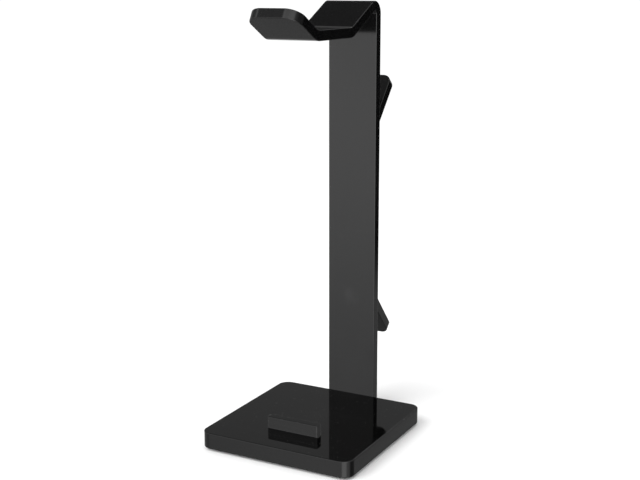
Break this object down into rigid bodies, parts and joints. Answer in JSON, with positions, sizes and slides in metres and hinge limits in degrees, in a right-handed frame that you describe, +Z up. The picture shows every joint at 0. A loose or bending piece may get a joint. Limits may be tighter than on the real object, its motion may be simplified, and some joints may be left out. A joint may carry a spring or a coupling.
{
  "type": "headphone stand",
  "caption": "Free-standing headphone stand: square base, tall bent-sheet upright with a cradle and raised lip, low phone rest bar, and a flared cleat behind for winding the lead.",
  "frame": {"origin": "on the surface that the feet stand on, below the middle of the stand's outline", "axes": "+Z up; the cradle and the phone rest face -Y; +X is to the right of a person facing the stand; X = 0 is the plane of symmetry"},
  "size_m": [0.1, 0.1372, 0.2622],
  "materials": {
    "gloss_black_acrylic": "high gloss, flame-polished edges",
    "black_foam_tape": "matte foam",
    "black_oxide_steel": "black oxide, satin",
    "black_nylon": "satin moulded",
    "brass": "turned and knurled",
    "black_rubber": "matte"
  },
  "bodies": {
    "root": {"base_slab": "gloss_black_acrylic", "upright_cradle": "gloss_black_acrylic", "phone_rest_bar": "gloss_black_acrylic", "cable_cleat": "gloss_black_acrylic", "cleat_tape_upper": "black_foam_tape", "cleat_tape_lower": "black_foam_tape", "base_screw_left": "black_oxide_steel", "base_screw_right": "black_oxide_steel", "screw_washer_left": "black_nylon", "screw_washer_right": "black_nylon", "threaded_insert_left": "brass", "threaded_insert_right": "brass", "foot_front_left": "black_rubber", "foot_front_right": "black_rubber", "foot_rear_left": "black_rubber", "foot_rear_right": "black_rubber"}
  },
  "joints": []
}
